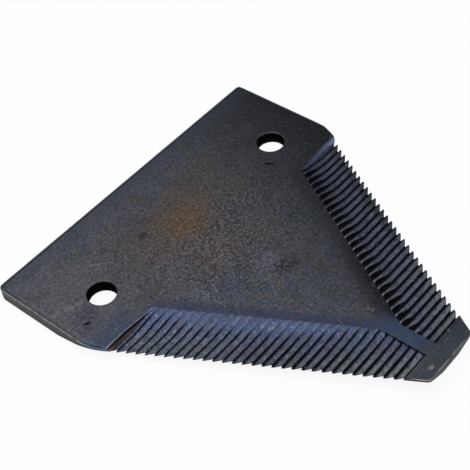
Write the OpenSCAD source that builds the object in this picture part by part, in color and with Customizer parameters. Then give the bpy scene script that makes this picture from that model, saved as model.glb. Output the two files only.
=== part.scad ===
// Mower sickle section: one stamped steel blade with a blunt tip, two rivet holes at the back,
// a row of teeth pressed into the upper face along each cutting edge and a ground bevel under it.
// Millimetres. The origin is midway between the rivet holes on the underside, the tip points to -Y.

/* [Blade] */
// Width across the straight back
blade_w = 76.2; // [66:0.1:90]
// Length from the back edge to the end of the tip
blade_l = 82.55; // [76:0.05:96]
// Thickness of the steel
thickness = 3; // [2.4:0.1:4]
// Length of the straight sides, from the back edge to the shoulders
side_l = 25.5; // [22:0.1:30]
// Width of the blunt tip between its corners
tip_w = 13.7; // [10:0.1:18]
// Radius of the two back corners
back_corner_r = 1.8; // [1:0.1:4]
// Radius of the two shoulder corners
shoulder_corner_r = 12; // [4:0.5:14]
// Radius of the two tip corners
tip_corner_r = 1.2; // [0.3:0.1:2]
// Width of the rounding that stamping leaves on the upper edge of the back, the sides and the shoulders
roll_w = 1.3; // [0.8:0.1:2]
// Drop of that rounding at the outline
roll_drop = 0.65; // [0.4:0.05:0.8]

/* [Rivet holes] */
// Diameter of each rivet hole
hole_d = 6; // [4:0.1:8]
// Distance between the two hole centres
hole_spacing = 53.4; // [36:0.1:56]
// Distance from the back edge to the row of holes
hole_setback = 18.9; // [12:0.1:20]
// Width of the broken edge round both ends of each hole
hole_break = 0.2; // [0.1:0.05:0.4]

/* [Cutting edge] */
// Width of the bevel ground under each edge at the tip, square to the edge
bevel_w = 6; // [4:0.1:8]
// Height of the blunt land left above the bevel at the tip
edge_land = 0.48; // [0.2:0.02:0.8]
// Height of that land at the shoulders
heel_land = 1.25; // [0.8:0.05:1.4]
// Size of the relief ground under the end of the tip
tip_relief = 1; // [0.2:0.1:1.4]

/* [Teeth] */
// Distance from one groove to the next, along the blade
tooth_pitch = 1.645; // [1.2:0.005:2.4]
// Width of the steep flank of each groove, on its tip side
steep_flank = 0.45; // [0.3:0.05:0.6]
// Height of a crest above the groove beside it
tooth_h = 0.42; // [0.2:0.02:0.6]
// Depth of the last groove, next to the tip, below the upper face
groove_depth = 0.8; // [0.78:0.02:1.2]
// Further depth of the first groove, next to the shoulder
heel_depth = 0.72; // [0:0.02:0.8]
// Width of the toothed band, square to the edge
band_w = 10.8; // [7:0.1:12]
// Length over which a groove runs out into the upper face
run_out = 3.2; // [2:0.1:5]
// Width of the short flank between the first groove and the wall at the heel
first_flank = 0.6; // [0.3:0.05:0.7]
// Width of that wall, up to the upper face at the depth of the last groove
heel_wall = 0.25; // [0.1:0.05:0.5]
// Distance along the blade from a shoulder to the first groove
plain_heel = 4.9; // [4:0.05:8]
// Least distance along the blade from the last groove to the end of the tip
plain_tip = 4.4; // [3:0.1:8]
// Width of the plain neck left between the two rows near the tip
neck_w = 3.2; // [2:0.1:5]
// Offset of that neck from the centre line
neck_offset = -0.7; // [-1.5:0.1:1.5]

/* [Hidden] */
$fn = 96;

// Clearance by which a cut passes the face it leaves through
past = 1;
half_w = blade_w / 2;
half_tip = tip_w / 2;
back_y = hole_setback;
shoulder_y = back_y - side_l;
tip_y = back_y - blade_l;

// Each edge runs inwards by edge_run for every millimetre towards the tip
edge_run = (half_w - half_tip) / (shoulder_y - tip_y);
edge_angle = atan(edge_run);
edge_length = (shoulder_y - tip_y) / cos(edge_angle);
function edge_x(y) = half_w - edge_run * (shoulder_y - y);

// Where the grooves start on the flat of the blade, band_w inside the edge
function band_x(y) = edge_x(y) - band_w / cos(edge_angle);

first_groove_y = shoulder_y - plain_heel;
last_groove = floor((first_groove_y - tip_y - plain_tip) / tooth_pitch);
function groove_y(i) = first_groove_y - tooth_pitch * i;

// The run-out of a groove is a curve that flattens from the upper face to the floor,
// laid out as this many flats that touch it at even steps
run_out_flats = 4;
// Height of the stock that a row of grooves clears, well over the upper face
clear_h = blade_w / 2;

// Angle at which the rounding leaves the upper face
roll_start = 8;
// Angle at which the arc of a rounded corner leaves a straight edge
corner_start = 3;

// Corner piece that is taken off to leave an arc of about radius r between two straight edges
module corner_waste(before, corner, after, r) {
    to_before = (before - corner) / norm(before - corner);
    to_after = (after - corner) / norm(after - corner);
    inwards = (to_before + to_after) / norm(to_before + to_after);
    half_angle = acos(to_before * to_after) / 2;
    half_turn = 90 - half_angle - corner_start;
    reach = r / tan(half_angle);
    arc_r = reach * sin(half_angle) / sin(half_turn);
    centre = corner + inwards * (reach * cos(half_angle) + arc_r * cos(half_turn));
    function square_to(edge) = (corner - centre - ((corner - centre) * edge) * edge) / cos(corner_start);
    difference() {
        polygon([
            centre, centre + 2 * square_to(to_before),
            corner - inwards * arc_r, centre + 2 * square_to(to_after)
        ]);
        translate(centre) circle(arc_r);
    }
}

// Plan of the blade with its six rounded corners
module blade_plan() {
    corners = [
        [half_w, back_y], [half_w, shoulder_y], [half_tip, tip_y],
        [-half_tip, tip_y], [-half_w, shoulder_y], [-half_w, back_y]
    ];
    radii = [
        back_corner_r, shoulder_corner_r, tip_corner_r,
        tip_corner_r, shoulder_corner_r, back_corner_r
    ];
    count = len(corners);
    difference() {
        polygon(corners);
        for (i = [0 : count - 1])
            corner_waste(corners[(i + count - 1) % count], corners[i], corners[(i + 1) % count], radii[i]);
    }
}

// Section through what stamping rolls off an upper edge: the edge is at x = 0, the blade on the left,
// and the arc falls from the upper face at y = 0 to the drop at the outline
module roll_section() {
    chord_angle = atan(roll_drop / roll_w);
    arc_r = norm([roll_w, roll_drop]) / (2 * sin(chord_angle - roll_start));
    difference() {
        translate([-roll_w, -2 * roll_drop]) square([roll_w + past, 2 * roll_drop + past]);
        translate([-roll_w - arc_r * sin(roll_start), -arc_r * cos(roll_start)]) circle(arc_r);
    }
}

// Rolled upper edges along the back, the sides and the plain heels, where the roll rises out again
module rolled_edges() {
    fade_angle = atan(roll_drop / plain_heel);
    translate([-blade_w, back_y, thickness]) rotate([90, 0, 90]) linear_extrude(2 * blade_w) roll_section();
    for (side = [0, 1]) mirror([side, 0, 0]) {
        translate([half_w, back_y + past, thickness]) rotate([90, 0, 0]) linear_extrude(blade_l) roll_section();
        translate([half_w, shoulder_y, thickness]) rotate([-fade_angle, 0, -edge_angle])
            translate([0, roll_w, 0]) rotate([90, 0, 0]) linear_extrude(2 * plain_heel) roll_section();
    }
}

// Punched hole with a broken edge above and below
module rivet_hole() {
    translate([0, 0, -past]) cylinder(d = hole_d, h = thickness + 2 * past);
    rotate_extrude()
        polygon([[0, -hole_break], [hole_d / 2 + 2 * hole_break, -hole_break], [0, hole_d / 2 + hole_break]]);
    translate([0, 0, thickness]) mirror([0, 0, 1]) rotate_extrude()
        polygon([[0, -hole_break], [hole_d / 2 + 2 * hole_break, -hole_break], [0, hole_d / 2 + hole_break]]);
}

// Stock under the bevel of the right cutting edge: its plane falls inwards from the edge,
// and along the edge from the land at the tip to the higher land at the shoulder
module edge_bevel() {
    inward_angle = atan((thickness - edge_land) / bevel_w);
    along_angle = atan((heel_land - edge_land) / edge_length * cos(inward_angle));
    translate([half_w, shoulder_y, thickness - heel_land]) rotate([0, 0, -edge_angle])
        rotate([-along_angle, -inward_angle, 0])
            translate([-blade_w / 2, -blade_l - half_w, -blade_w]) cube([blade_w, blade_l + blade_w, blade_w]);
}

// Small wedge under the end of the tip
module tip_end_relief() {
    translate([-half_w, tip_y, 0]) rotate([90, 0, 90]) linear_extrude(blade_w)
        polygon([[-past, -past], [tip_relief + past, -past], [-past, tip_relief + past]]);
}

// Stock above one flat of all the grooves of the right row: a saw-tooth profile across the blade,
// drawn along the grooves and sloping down outwards by fall for every millimetre
module groove_flat(touch) {
    fall = 2 * groove_depth / run_out * (1 - touch);
    drop = groove_depth * (1 - pow(1 - touch, 2)) - fall * touch * run_out;
    deepening = touch < 1 ? 0 : heel_depth / (groove_y(0) - groove_y(last_groove));
    slope_angle = atan(fall);
    gentle_flank = tooth_pitch - steep_flank;
    end_rise = 2 * groove_depth;
    heel_y = groove_y(0) + first_flank;
    heel_h = tooth_h * first_flank / gentle_flank;
    heel_top_y = heel_y + heel_wall * end_rise / (groove_depth - heel_h);
    toe_top_y = groove_y(last_groove) - steep_flank * end_rise / groove_depth;
    function deeper(y) = deepening * (y - groove_y(last_groove));
    function on_profile(y, h) = [y, (thickness - drop - deeper(y) + fall * band_x(y) + h) * cos(slope_angle)];
    profile = concat(
        [
            on_profile(heel_top_y, clear_h),
            on_profile(heel_top_y, heel_h + end_rise),
            on_profile(heel_y, heel_h)
        ],
        [for (i = [0 : last_groove]) each [
            on_profile(groove_y(i), 0),
            if (i < last_groove) on_profile(groove_y(i) - steep_flank, tooth_h)
        ]],
        [on_profile(toe_top_y, end_rise), on_profile(toe_top_y, clear_h)]
    );
    rotate([0, slope_angle, 0]) translate([-half_w, 0, 0]) rotate([90, 0, 90])
        linear_extrude(3 * blade_w) polygon(profile);
}

// All the grooves of the right row, ended at the side of the neck
module groove_row(neck_x) {
    intersection() {
        intersection_for(i = [0 : run_out_flats - 1]) groove_flat(i / (run_out_flats - 1));
        translate([neck_x, tip_y, 0]) cube([blade_w, blade_l, 2 * thickness]);
    }
}

module sickle_section() {
    color([0.2, 0.21, 0.24])
    difference() {
        linear_extrude(thickness) blade_plan();
        for (x = [-hole_spacing / 2, hole_spacing / 2]) translate([x, 0, 0]) rivet_hole();
        rolled_edges();
        edge_bevel();
        mirror([1, 0, 0]) edge_bevel();
        tip_end_relief();
        groove_row(neck_w / 2 + neck_offset);
        mirror([1, 0, 0]) groove_row(neck_w / 2 - neck_offset);
    }
}

sickle_section();
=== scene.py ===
import math

import bmesh
import bpy
from mathutils import Matrix, Vector


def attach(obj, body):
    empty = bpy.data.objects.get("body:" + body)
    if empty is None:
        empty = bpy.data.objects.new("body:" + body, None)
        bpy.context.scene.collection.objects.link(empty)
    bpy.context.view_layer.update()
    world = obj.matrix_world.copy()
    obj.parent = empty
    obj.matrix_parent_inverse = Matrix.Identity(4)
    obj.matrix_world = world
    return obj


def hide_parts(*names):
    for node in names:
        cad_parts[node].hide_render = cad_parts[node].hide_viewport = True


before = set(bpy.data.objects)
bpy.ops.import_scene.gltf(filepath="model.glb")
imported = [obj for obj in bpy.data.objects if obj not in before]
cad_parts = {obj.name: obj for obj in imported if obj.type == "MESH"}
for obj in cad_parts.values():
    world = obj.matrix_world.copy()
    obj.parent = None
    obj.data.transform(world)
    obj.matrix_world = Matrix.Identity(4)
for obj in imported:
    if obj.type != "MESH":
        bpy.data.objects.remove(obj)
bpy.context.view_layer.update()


# The sickle section: one blade stamped from spring steel plate, with teeth pressed into the hot upper
# face along both edges and a bevel ground under them. It is hardened in one go and keeps the thin
# blue-black heat scale, which wears through on the crests and along the outline.
TIP_ROUND = 0.00022
CREST_ROUND = 0.00014
EDGE_BREAK = 0.00006
SHARP = math.radians(24)
TIP_START = -0.0612
TOP_EDGE = 0.00299

forging = bmesh.new()
forging.from_mesh(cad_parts["sickle_section"].data)
bmesh.ops.remove_doubles(forging, verts=forging.verts, dist=1e-6)
break_share = forging.edges.layers.float.new("bevel_weight_edge")
for edge in forging.edges:
    if edge.calc_face_angle(0) < SHARP or not edge.is_convex:
        continue
    run = (edge.verts[1].co - edge.verts[0].co).normalized()
    slopes = [face.normal for face in edge.link_faces]
    middle = (edge.verts[0].co + edge.verts[1].co) / 2
    # a crest runs across the blade between two flanks that face upwards
    crest = abs(run.y) < 0.02 and all(0.5 < n.z < 0.999 for n in slopes)
    tip_end = middle.y < TIP_START and middle.z > TOP_EDGE
    breaking = TIP_ROUND if tip_end else CREST_ROUND if crest else EDGE_BREAK
    edge[break_share] = breaking / TIP_ROUND
stock_mesh = bpy.data.meshes.new("blade_stock")
forging.to_mesh(stock_mesh)
forging.free()

# tumbling breaks every sharp edge, most of all the crests and the tip; the faces that it makes
# # go to a second, empty material slot, which tells later where the edges turn pale, part worn scale and
# part painted highlight
stock = bpy.data.objects.new("blade_stock", stock_mesh)
bpy.context.scene.collection.objects.link(stock)
stock_mesh.materials.clear()
stock_mesh.materials.append(None)
stock_mesh.materials.append(None)
tumbling = stock.modifiers.new("tumbling", "BEVEL")
tumbling.limit_method = "WEIGHT"
tumbling.width = TIP_ROUND
tumbling.segments = 3
tumbling.material = 1
tumbling.use_clamp_overlap = False
bpy.context.view_layer.update()
blade_mesh = bpy.data.meshes.new_from_object(stock.evaluated_get(bpy.context.evaluated_depsgraph_get()))
blade_mesh.name = "blade"
bpy.data.objects.remove(stock)
bpy.data.meshes.remove(stock_mesh)

# sizes of the teeth and holes in millimetres: the grooves lie along the back's direction, the first at
# the heel, and start on a line that moves in by EDGE_RUN for each millimetre towards the tip
GROOVE_PITCH = 1.645
FIRST_GROOVE = -11.5
HEEL = -10.9
TOE = -59.65
EDGE_RUN = 0.54776
EDGE_SQUARE = 0.8771
BAND_START = 29.402
NECK_LEFT, NECK_RIGHT = -2.3, 0.9
NECK_MIDDLE = -0.7
HOLE_OFFSET = 26.7
HOLE_RIM = 3.2
THICKNESS = 3.0


def band_depth_of(x, y):
    """How far a place in millimetres lies outside the line where the grooves start, square to the edge."""
    return (abs(x) - BAND_START - EDGE_RUN * y) * EDGE_SQUARE


# each face keeps what was done to it: rubbed on an edge (pale there, part wear and part painted highlight),
# # pressed into teeth, punched, sheared or ground; its slope is 1 where it faces up, -1 where it faces down
# and near 0 on a wall
WALL_SLOPE = 0.35
UNDERSIDE_SLOPE = -0.985

done = {name: [] for name in ("wear_and_sheen", "toothed", "punched", "sheared", "ground")}
for face in blade_mesh.polygons:
    x, y, z = 1000 * face.center
    slope = face.normal.z
    beside_neck = not NECK_LEFT < x < NECK_RIGHT
    in_row = TOE - 0.65 < y < HEEL + 0.6 and band_depth_of(x, y) > -0.3 and beside_neck
    toothed = in_row and z < THICKNESS - 0.005 and slope > 0.05
    punched = math.hypot(abs(x) - HOLE_OFFSET, y) < HOLE_RIM and abs(slope) < 0.5
    done["wear_and_sheen"].append(face.material_index)
    done["toothed"].append(toothed)
    done["punched"].append(punched)
    done["sheared"].append(abs(slope) < WALL_SLOPE and not toothed and not punched)
    done["ground"].append(UNDERSIDE_SLOPE < slope < -WALL_SLOPE and not punched)
for name, marks in done.items():
    mark_layer = blade_mesh.attributes.new(name, "FLOAT", "FACE")
    mark_layer.data.foreach_set("value", [float(mark) for mark in marks])
blade_mesh.polygons.foreach_set("material_index", [0] * len(blade_mesh.polygons))
blade_mesh.polygons.foreach_set("use_smooth", [True] * len(blade_mesh.polygons))
blade = bpy.data.objects.new("blade", blade_mesh)
bpy.context.scene.collection.objects.link(blade)
evened = blade.modifiers.new("evened", "WEIGHTED_NORMAL")
evened.mode = "FACE_AREA"
evened.weight = 50
evened.keep_sharp = False


class Shade:
    """A socket in a material's tree, or the bare tree; sums and products of shades add Math nodes."""

    def __init__(self, tree, socket=None):
        self.tree = tree
        self.socket = socket

    def node(self, kind, settings=None, inputs=None, output=0):
        """A new node with its settings made first, then its sockets; gives the shade at one output."""
        made = self.tree.nodes.new(kind)
        for name, value in (settings or {}).items():
            setattr(made, name, value)
        for name, value in (inputs or {}).items():
            if isinstance(value, Shade):
                self.tree.links.new(value.socket, made.inputs[name])
            else:
                made.inputs[name].default_value = value
        return Shade(self.tree, made.outputs[output] if made.outputs else None)

    def maths(self, operation, *values):
        return self.node("ShaderNodeMath", {"operation": operation}, dict(enumerate(values)))

    def __add__(self, other):
        return self.maths("ADD", self, other)

    def __sub__(self, other):
        return self.maths("SUBTRACT", self, other)

    def __mul__(self, other):
        return self.maths("MULTIPLY", self, other)

    def __truediv__(self, other):
        return self.maths("DIVIDE", self, other)

    def __rsub__(self, other):
        return self.maths("SUBTRACT", other, self)

    def __abs__(self):
        return self.maths("ABSOLUTE", self)

    __radd__ = __add__
    __rmul__ = __mul__

    def rise(self, start, end):
        """0 below start, 1 above end, with a smooth rise between them; end may be the smaller."""
        return self.node(
            "ShaderNodeMapRange",
            {"interpolation_type": "SMOOTHSTEP"},
            {"Value": self, "From Min": start, "From Max": end, "To Min": 0.0, "To Max": 1.0},
        )

    def or_else(self, other):
        """The larger of two masks."""
        return self.maths("MAXIMUM", self, other)

    def between(self, first, second):
        """The first colour where this mask is 0, the second where it is 1."""
        return self.node("ShaderNodeMix", {"data_type": "RGBA"}, {0: self, 6: first, 7: second}, 2)

    def stained(self, colour, mask):
        """This colour turned into another where the mask is 1."""
        return mask.between(self, colour)


def tone(red, green, blue):
    """A colour read off a screen, 0 to 255, as the linear colour that a shader takes."""
    return [*(((value / 255 + 0.055) / 1.055) ** 2.4 for value in (red, green, blue)), 1.0]


blued_steel = bpy.data.materials.new("blued_steel")
blued_steel.use_nodes = True
blued_steel.node_tree.nodes.clear()
steel = Shade(blued_steel.node_tree)

# every place on the blade is read in millimetres from the middle of the rivet row
place = steel.node("ShaderNodeTexCoord", output="Object")
place_mm = steel.node("ShaderNodeVectorMath", {"operation": "SCALE"}, {0: place, "Scale": 1000.0})
along_back = steel.node("ShaderNodeSeparateXYZ", None, {0: place_mm}, 0)
to_back = steel.node("ShaderNodeSeparateXYZ", None, {0: place_mm}, 1)
height = steel.node("ShaderNodeSeparateXYZ", None, {0: place_mm}, 2)


def laid(x, y, length, width, turn):
    """Places as seen from (x, y), turned in plan, in half lengths and half widths of a mark there."""
    return steel.node(
        "ShaderNodeMapping",
        {"vector_type": "TEXTURE"},
        {
            "Vector": place_mm,
            "Location": (x, y, THICKNESS),
            "Rotation": (0, 0, math.radians(turn)),
            "Scale": (length, width, 2 * THICKNESS),
        },
    )


def grain(size, detail=4.0, roughness=0.55, stretch=1.0, turn=0.0, start=(0, 0, 0)):
    """Noise from 0 to 1 whose lumps are about size millimetres wide, drawn out and turned in plan."""
    drawn = steel.node(
        "ShaderNodeMapping",
        {"vector_type": "TEXTURE"},
        {
            "Vector": place_mm,
            "Location": start,
            "Rotation": (0, 0, math.radians(turn)),
            "Scale": (size * stretch, size, size),
        },
    )
    return steel.node(
        "ShaderNodeTexNoise",
        {"noise_dimensions": "3D"},
        {"Vector": drawn, "Scale": 1.0, "Detail": detail, "Roughness": roughness},
    )


def blot(x, y, length, width, turn=0.0, raggedness=0.6):
    """A soft patch on the blade, 1 in its middle and 0 past its ragged rim."""
    mark = laid(x, y, length, width, turn)
    away = steel.node("ShaderNodeVectorMath", {"operation": "LENGTH"}, {0: mark}, "Value")
    return (away + (grain(0.35 * width, 5.0, 0.6, start=(x, y, 0)) - 0.5) * raggedness).rise(1.0, 0.3)


def scratch(start, end, width):
    """A thin broken line between two places on the upper face."""
    (x0, y0), (x1, y1) = start, end
    turn = math.degrees(math.atan2(y1 - y0, x1 - x0))
    half = math.hypot(x1 - x0, y1 - y0) / 2
    line = laid((x0 + x1) / 2, (y0 + y1) / 2, half, width / 2, turn)
    along = abs(steel.node("ShaderNodeSeparateXYZ", None, {0: line}, 0))
    wander = (grain(3.0, 2.0) - 0.5) * 3.0
    across = abs(steel.node("ShaderNodeSeparateXYZ", None, {0: line}, 1) + wander)
    unbroken = along.rise(1.0, 0.8) * across.rise(1.0, 0.3)
    return unbroken * grain(0.9, 2.0, 0.6, start=start + (1,)).rise(0.38, 0.55)


def marked(name):
    """1 on the faces that keep this mark."""
    return steel.node("ShaderNodeAttribute", {"attribute_name": name}, None, "Fac")


upper_face = height.rise(2.86, 2.97)
cloud = grain(16, 5.0, 0.6, start=(3, 8, 0))
mottle = grain(3.2, 5.0, 0.65, start=(9, 1, 4))
fine = grain(0.55, 4.0, 0.75, start=(6, 6, 2))
speck = grain(0.55, 3.0, 0.6, start=(2, 6, 1))
grit = grain(0.3, 2.0, 0.5, start=(7, 3, 2))

# heat tints: slate all over, straw and brown in the middle where it was hottest
tempered = (blot(-5, -2, 33, 20, 0, 1.2) * 1.2 - 0.1).rise(0.0, 1.0)
scale_colour = tempered.between(tone(70, 77, 88), tone(80, 75, 74))
scale_colour = scale_colour.stained(tone(82, 84, 88), cloud.rise(0.42, 0.62) * 0.6)
greenish = grain(6, 4.0, 0.6, start=(5, 2, 9)).rise(0.48, 0.64) * 0.7
scale_colour = scale_colour.stained(tone(62, 69, 67), greenish)
plum = grain(4, 5.0, 0.7, start=(1, 8, 3)).rise(0.48, 0.64) * (tempered * 0.6 + 0.25)
scale_colour = scale_colour.stained(tone(72, 61, 68), plum)

# small brown, blue and violet patches: size, start, least and full share of the grain, tint, strength
for size, start, least, full, tint, strength in (
    (1.8, (8, 2, 6), 0.5, 0.64, (86, 74, 66), 0.6),
    (2.2, (2, 9, 7), 0.5, 0.66, (58, 69, 90), 0.5),
    (1.4, (4, 9, 1), 0.52, 0.62, (80, 66, 82), 0.5),
):
    patchy = grain(size, 4.0, 0.7, start=start).rise(least, full) * strength
    scale_colour = scale_colour.stained(tone(*tint), patchy)
scale_colour = scale_colour.stained(tone(52, 54, 60), mottle.rise(0.5, 0.7) * 0.4)

# single clouds of tint: middle, half length and half width, turn in degrees, tint, strength
for x, y, length, width, turn, tint, strength in (
    (-29.0, 6.5, 11.0, 7.0, 0, (84, 81, 85), 0.7),
    (-33.0, -2.5, 5.5, 4.0, 30, (61, 57, 70), 0.7),
    (10.2, 7.2, 10.0, 6.0, 0, (77, 77, 70), 0.6),
    (13.4, -3.1, 9.0, 5.5, 0, (79, 77, 76), 0.6),
    (5.0, -14.8, 7.0, 6.0, 0, (79, 75, 75), 0.6),
    (-1.2, -21.6, 4.0, 3.0, 0, (90, 91, 105), 0.8),
    (0.4, -25.6, 4.5, 3.0, 0, (56, 52, 55), 0.6),
    (-4.6, -12.7, 7.0, 3.5, -10, (85, 70, 63), 0.7),
    (-13.9, -7.2, 6.0, 4.0, 0, (81, 73, 85), 0.6),
    (-10.0, -20.0, 6.0, 5.0, 0, (60, 67, 82), 0.6),
    (-2.2, 0.2, 12.0, 8.5, 10, (88, 75, 61), 0.95),
    (-2.3, -1.0, 7.5, 5.5, 20, (99, 76, 54), 0.65),
    (-10.6, 4.0, 1.9, 1.4, 0, (60, 42, 40), 0.85),
):
    scale_colour = scale_colour.stained(tone(*tint), blot(x, y, length, width, turn, 1.4) * strength)

# the grain of the scale itself, coarsest in the middle, then painted shade that darkens the right side, and
# the blue margins
coarse = 0.46 + blot(0.0, -11.0, 30, 19, 0, 1.0) * 0.42
scale_colour = scale_colour.stained(tone(112, 114, 116), fine.rise(0.48, 0.66) * coarse)
scale_colour = scale_colour.stained(tone(36, 38, 43), fine.rise(0.52, 0.34) * coarse)
# painted shade: the upper face darkens towards the far right
right_side_shade = (along_back + to_back * -0.3).rise(2.0, 40.0)
scale_colour = scale_colour.stained(tone(31, 33, 37), right_side_shade * 0.8)
scale_colour = scale_colour.stained(tone(62, 69, 82), to_back.rise(12.0, 17.5) * 0.5)
left_heel = to_back.rise(-4.0, -9.0) * along_back.rise(-24.0, -32.0) * 0.7
scale_colour = scale_colour.stained(tone(57, 66, 86), left_heel)

# the teeth: bare blue-grey flanks, and painted black shadow on the steep flanks and in the groove bottoms;
# step runs from 0 in one groove's bottom to 1 in the next, towards the tip
band_depth = (abs(along_back) - BAND_START - to_back * EDGE_RUN) * EDGE_SQUARE
tongues = band_depth.rise(-0.15, 0.2) * to_back.rise(HEEL + 0.2, HEEL - 0.2) * to_back.rise(TOE - 0.15, TOE)
tongues = tongues * abs(along_back - NECK_MIDDLE).rise(1.5, 1.62) * upper_face
among_teeth = marked("toothed").or_else(tongues)
left_row = along_back.rise(1.0, -1.0)
right_row = 1.0 - left_row
step = steel.maths("FRACT", (FIRST_GROOVE - to_back) / GROOVE_PITCH)
below_wall = to_back.rise(HEEL - 0.2, FIRST_GROOVE)
flank_colour = left_row.between(tone(90, 95, 116), tone(67, 78, 106))
heel_edge = right_row * band_depth.rise(7.0, 9.5) * to_back.rise(-44.0, -34.0)
flank_colour = flank_colour.stained(tone(64, 68, 80), heel_edge)
flank_colour = flank_colour.stained(tone(77, 82, 92), left_row * band_depth.rise(3.0, 8.5) * 0.85)
bared = to_back.rise(-36.0, -58.0) * band_depth.rise(1.0, 10.0)
flank_colour = flank_colour.stained(tone(114, 118, 122), bared * 0.9)
brownish = grain(1.8, 4.0, 0.6, start=(6, 1, 5)).rise(0.52, 0.64) * 0.5
flank_colour = flank_colour.stained(tone(80, 72, 74), brownish)
greenish = grain(2.0, 4.0, 0.6, start=(2, 4, 5)).rise(0.52, 0.64) * band_depth.rise(2.0, 6.0) * 0.6
flank_colour = flank_colour.stained(tone(70, 80, 78), greenish)
smudged = grain(0.9, 5.0, 0.7, start=(5, 5, 5)).rise(0.49, 0.62) * 0.65
flank_colour = flank_colour.stained(tone(46, 51, 64), smudged)
glinting = grain(0.7, 4.0, 0.6, start=(3, 7, 5)).rise(0.54, 0.68) * 0.5
flank_colour = flank_colour.stained(tone(122, 130, 148), glinting)

# painted black shadow lines in the grooves, which fade out towards the inner ends of the left row;
# there a lighter lavender is painted in their place as a sheen
light_end = 0.58 + 0.28 * band_depth.rise(1.2, 3.9).or_else(left_row) + 0.1 * left_row
dark_past = step - left_row * band_depth.rise(3.0, 8.0) * to_back.rise(-26.0, -38.0) * 0.12
groove_shadow = dark_past.rise(0.5, 0.24).or_else((step - light_end).rise(-0.07, 0.03)) * below_wall
run_in = to_back.rise(-34.0, -52.0) * 3.4 + to_back.rise(-20.0, -14.0) * 1.6
lined = right_row.or_else((band_depth + run_in).rise(1.6, 4.4))
inner_ends = band_depth.rise(3.0, 1.6) * right_row * to_back.rise(-16.0, -34.0) * 0.85
flank_colour = flank_colour.stained(tone(140, 141, 148), inner_ends)
# painted lavender sheen where the groove shadow fades out on the left row
flank_colour = flank_colour.stained(tone(90, 101, 130), groove_shadow * (1.0 - lined) * 0.6)
shaded = step.rise(0.24, 0.34) * step.rise(0.54, 0.44) * (1.0 - lined) * 0.5
flank_colour = flank_colour.stained(tone(54, 62, 82), shaded)
# painted shadow: near black in the groove bottoms and on the steep flanks
flank_colour = flank_colour.stained(tone(7, 9, 17), groove_shadow * lined)

# the wall at each heel; the left one has a painted dark shade line and, above it, a pale rim that is part
# # painted highlight and part worn scale
heel_wall = to_back.rise(HEEL - 0.1, HEEL + 0.05)
right_wall = height.rise(2.9, 2.4).between(tone(74, 80, 112), tone(140, 152, 188))
wall_colour = left_row.between(right_wall, tone(140, 124, 126))
# painted shade: a dark line below the rim of the left heel wall
under_rim_shade = height.rise(2.2, 2.4) * height.rise(2.8, 2.66) * left_row * 0.9
wall_colour = wall_colour.stained(tone(14, 17, 28), under_rim_shade)
# painted highlight along the upper rim of the left heel wall, broken up like worn scale
wall_rim_wear_and_highlight = height.rise(2.72, 2.84) * left_row * (fine * 1.4).rise(0.4, 0.7)
wall_colour = wall_colour.stained(tone(176, 194, 222), wall_rim_wear_and_highlight)
flank_colour = flank_colour.stained(wall_colour, heel_wall)

# the plate beside the rows: blue on the left and on the neck, painted black shade on the right, grey on the
# tip
beside_left = upper_face * band_depth.rise(-3.0, -1.2) * left_row * to_back.rise(-8.0, -12.0)
beside_right = upper_face * band_depth.rise(-5.0, -0.3) * right_row * to_back.rise(-8.0, -12.0)
neck = upper_face * abs(along_back - NECK_MIDDLE).rise(3.4, 1.4) * to_back.rise(-45.0, -52.0)
short_of_tip = to_back.rise(-60.5, -56.5)
scale_colour = scale_colour.stained(tone(54, 61, 82), beside_left * short_of_tip * 0.75)
# painted shade darkening the plate beside the right row, most towards the tip
right_row_shade = beside_right * short_of_tip * (0.45 + to_back.rise(-24.0, -40.0) * 0.4)
scale_colour = scale_colour.stained(tone(28, 28, 34), right_row_shade)
scale_colour = scale_colour.stained(tone(62, 72, 97), neck * short_of_tip * 0.85)
on_tip = upper_face * to_back.rise(TOE - 0.15, TOE - 1.35) * 0.65
scale_colour = scale_colour.stained(tone(60, 69, 77), on_tip)
scale_colour = scale_colour.stained(tone(128, 121, 116), blot(-4.2, -62.1, 0.9, 0.6, 0, 0.8) * 0.85)
scale_colour = scale_colour.stained(flank_colour, among_teeth)

# the sheared outline is near black at the bottom and dark brown higher up, the bevel shows its grinding,
# the tip's end is dark
sheared_colour = height.rise(0.3, 2.4).between(tone(9, 8, 8), tone(52, 50, 47))
torn = grain(0.7, 4.0, 0.6, start=(2, 2, 8)).rise(0.45, 0.65) * 0.7
sheared_colour = sheared_colour.stained(tone(36, 33, 31), torn)
left_shoulder = left_row * to_back.rise(-4.5, -7.5) * to_back.rise(-11.4, -10.8)
sheared_colour = sheared_colour.stained(tone(74, 90, 126), left_shoulder * height.rise(0.6, 1.8))
rolled_under = height.rise(2.25, 2.3) * height.rise(2.7, 2.5) * (1.0 - among_teeth) * (1.0 - left_shoulder)
scale_colour = scale_colour.stained(sheared_colour, marked("sheared").or_else(rolled_under * 0.8))
# painted shade: a dark blue line along the rolled back edge
back_roll_shade = height.rise(2.78, 2.88) * height.rise(2.998, 2.96) * to_back.rise(16.5, 17.2)
scale_colour = scale_colour.stained(tone(34, 38, 48), back_roll_shade * 0.7)
grinding = grain(0.25, 3.0, 0.6, 40, 61, (3, 3, 3)) * left_row
grinding = grinding + grain(0.25, 3.0, 0.6, 40, -61, (3, 3, 3)) * right_row
ground_colour = grinding.rise(0.35, 0.65).between(tone(66, 69, 74), tone(98, 101, 106))
scale_colour = scale_colour.stained(ground_colour, marked("ground"))
tip_face = to_back.rise(-62.8, -63.3) * height.rise(2.85, 2.6) * 0.75
scale_colour = scale_colour.stained(tone(34, 35, 35), tip_face)

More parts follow.
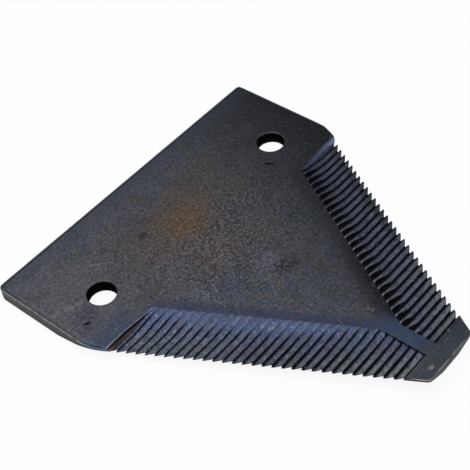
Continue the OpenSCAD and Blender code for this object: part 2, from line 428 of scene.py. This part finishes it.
# wear and dirt: rubbed edges, part worn scale and part painted highlight, hairlines, a few deep scratches
# and
# # nicks, specks of loose scale, and a bright rolled rim, part wear and part painted highlight
clear_of_teeth = band_depth.rise(-0.2, -1.0).or_else(to_back.rise(HEEL, HEEL + 0.6))
clear_of_teeth = clear_of_teeth.or_else(to_back.rise(TOE - 0.55, TOE - 1.35))
rolled_rim = height.rise(2.4, 2.45) * height.rise(2.63, 2.55) * to_back.rise(-7.5, -5.0)
from_hole = abs(along_back) - HOLE_OFFSET
around_hole = (from_hole * from_hole + to_back * to_back).rise(14.5, 12.0)
wear_and_sheen = marked("wear_and_sheen") * grain(1.6, 4.0, 0.7).rise(0.36, 0.6) * clear_of_teeth
wear_and_sheen = wear_and_sheen * (1.0 - around_hole * 0.6) * (1.0 - left_shoulder * 0.8)
hairline = grain(0.16, 2.0, 0.5, 60, 62, (1, 1, 1)).rise(0.66, 0.74)
hairline = hairline.or_else(grain(0.14, 2.0, 0.5, 50, -24, (4, 2, 1)).rise(0.68, 0.76))
scored = scratch((-14.9, -13.7), (-15.0, -22.8), 0.22)
scored = scored.or_else(scratch((-24.4, 8.3), (-16.7, 1.6), 0.16))
scored = scored.or_else(scratch((-37.2, 3.7), (-30.0, 1.6), 1.5) * 0.4)
scored = scored.or_else(scratch((-36.8, 15.0), (-27.0, 14.0), 0.3) * 0.5)
scored = scored.or_else(scratch((4.4, -60.4), (5.6, -58.9), 0.4))
fleck = blot(0.5, -45.3, 1.3, 0.8, 0, 0.6) * speck.rise(0.48, 0.6)
nick = blot(21.1, -4.1, 1.7, 0.45, -55, 0.4).or_else(blot(-34.0, -3.1, 1.1, 0.42, -35, 0.6))
scraped = (hairline * (1.0 - right_side_shade) * 0.42 + scored * 0.95) * upper_face
scale_colour = scale_colour.stained(tone(122, 125, 126), scraped)
scale_colour = scale_colour.stained(tone(30, 30, 34), speck.rise(0.6, 0.7) * 0.4)
pitted = blot(-0.4, -24.6, 4.6, 2.4, -20, 0.8) * upper_face
scale_colour = scale_colour.stained(tone(16, 16, 18), pitted * speck.rise(0.53, 0.6) * 0.75)
scale_colour = scale_colour.stained(tone(128, 128, 126), grit.rise(0.64, 0.72) * 0.6)
scale_colour = scale_colour.stained(tone(150, 140, 132), fleck * upper_face * 0.7)
scale_colour = scale_colour.stained(tone(12, 12, 14), nick * upper_face)
# pale edges: part worn scale, part painted highlight
scale_colour = scale_colour.stained(tone(150, 153, 156), wear_and_sheen * 0.75)
# a bright line on the rolled rim: a painted highlight, broken up like scale worn through
rim_wear_and_highlight = rolled_rim * grain(0.8, 5.0, 0.8, start=(4, 4, 4)).rise(0.28, 0.54) * 0.75
scale_colour = scale_colour.stained(tone(205, 209, 208), rim_wear_and_highlight)

# the steel under it all, and painted black shade on the walls of the punched holes
roughness = 0.4 + mottle * 0.1 + speck * 0.1 - wear_and_sheen * 0.08
relief = mottle * 0.25 + speck * 0.12 + grit * 0.05 - nick * 0.8 - scored * 0.15
dents = steel.node("ShaderNodeBump", None, {"Strength": 0.3, "Distance": 0.0002, "Height": relief})
finish = steel.node("ShaderNodeBsdfPrincipled", None, {
    "Base Color": scale_colour,
    "Roughness": roughness,
    "Metallic": 0.95,
    "Normal": dents,
})
# painted shade: the walls of the punched holes are drawn matt near black
hole_shade = steel.node("ShaderNodeBsdfDiffuse", None, {"Color": tone(16, 16, 17)})
finish = steel.node("ShaderNodeMixShader", None, {0: marked("punched"), 1: finish, 2: hole_shade})
steel.node("ShaderNodeOutputMaterial", None, {"Surface": finish})
blade_mesh.materials.clear()
blade_mesh.materials.append(blued_steel)

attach(blade, "root")
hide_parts("sickle_section")


# The studio: a round table under white paper that the blade lies flat on, one large soft light hung
# above and a little behind it, and a dim bluish room round it. The paper shows as plain white and
# keeps the blade's shadow. The camera stands to the left in front of the tip and looks down on it.
TABLE_RADIUS = 4.0
TABLE_GAP = 0.00005
PAPER_GLOW = 0.9

floor_mesh = bpy.data.meshes.new("table")
table_top = bmesh.new()
bmesh.ops.create_circle(table_top, cap_ends=True, segments=96, radius=TABLE_RADIUS)
table_top.to_mesh(floor_mesh)
table_top.free()
table = bpy.data.objects.new("table", floor_mesh)
table.location.z = -TABLE_GAP
bpy.context.scene.collection.objects.link(table)
white_table = bpy.data.materials.new("white_table")
white_table.use_nodes = True
white_table.node_tree.nodes.clear()
paper = Shade(white_table.node_tree)
seen = paper.node("ShaderNodeLightPath", None, None, "Is Camera Ray")
mirrored = paper.node("ShaderNodeLightPath", None, None, "Is Glossy Ray")
through = paper.node("ShaderNodeLightPath", None, None, "Is Transmission Ray")
shown = seen.or_else(mirrored).or_else(through)
matt = paper.node("ShaderNodeBsdfDiffuse", None, {"Color": (0.95, 0.95, 0.95, 1)})
glow = paper.node("ShaderNodeEmission", None, {"Color": (1, 1, 1, 1), "Strength": 1.0})
paper_look = paper.node("ShaderNodeMixShader", None, {0: shown * PAPER_GLOW, 1: matt, 2: glow})
paper.node("ShaderNodeOutputMaterial", None, {"Surface": paper_look})
floor_mesh.materials.append(white_table)

softbox = bpy.data.lights.new("softbox", "AREA")
softbox.shape = "RECTANGLE"
softbox.size = 1.0
softbox.size_y = 1.35
softbox.energy = 9.5
softbox_stand = bpy.data.objects.new("softbox", softbox)
softbox_stand.location = (-0.09, 0.17, 0.8)
bpy.context.scene.collection.objects.link(softbox_stand)

room = bpy.data.worlds.new("room")
room.use_nodes = True
room.node_tree.nodes["Background"].inputs["Color"].default_value = (0.75, 0.8, 0.9, 1)
room.node_tree.nodes["Background"].inputs["Strength"].default_value = 0.12
bpy.context.scene.world = room

looking = Vector((0.48248, 0.49312, -0.72391))
rightward = Vector((0.63981, -0.76286, -0.09322))
camera = bpy.data.cameras.new("photo_camera")
camera.lens = 88.522
camera.sensor_width = 36.0
camera.clip_start = 0.01
camera_stand = bpy.data.objects.new("photo_camera", camera)
camera_stand.matrix_world = (
    Matrix.Translation((-0.113203, -0.127934, 0.173702))
    @ Matrix((rightward, rightward.cross(looking), -looking)).transposed().to_4x4()
)
bpy.context.scene.collection.objects.link(camera_stand)
bpy.context.scene.camera = camera_stand
bpy.context.scene.view_settings.view_transform = "Standard"
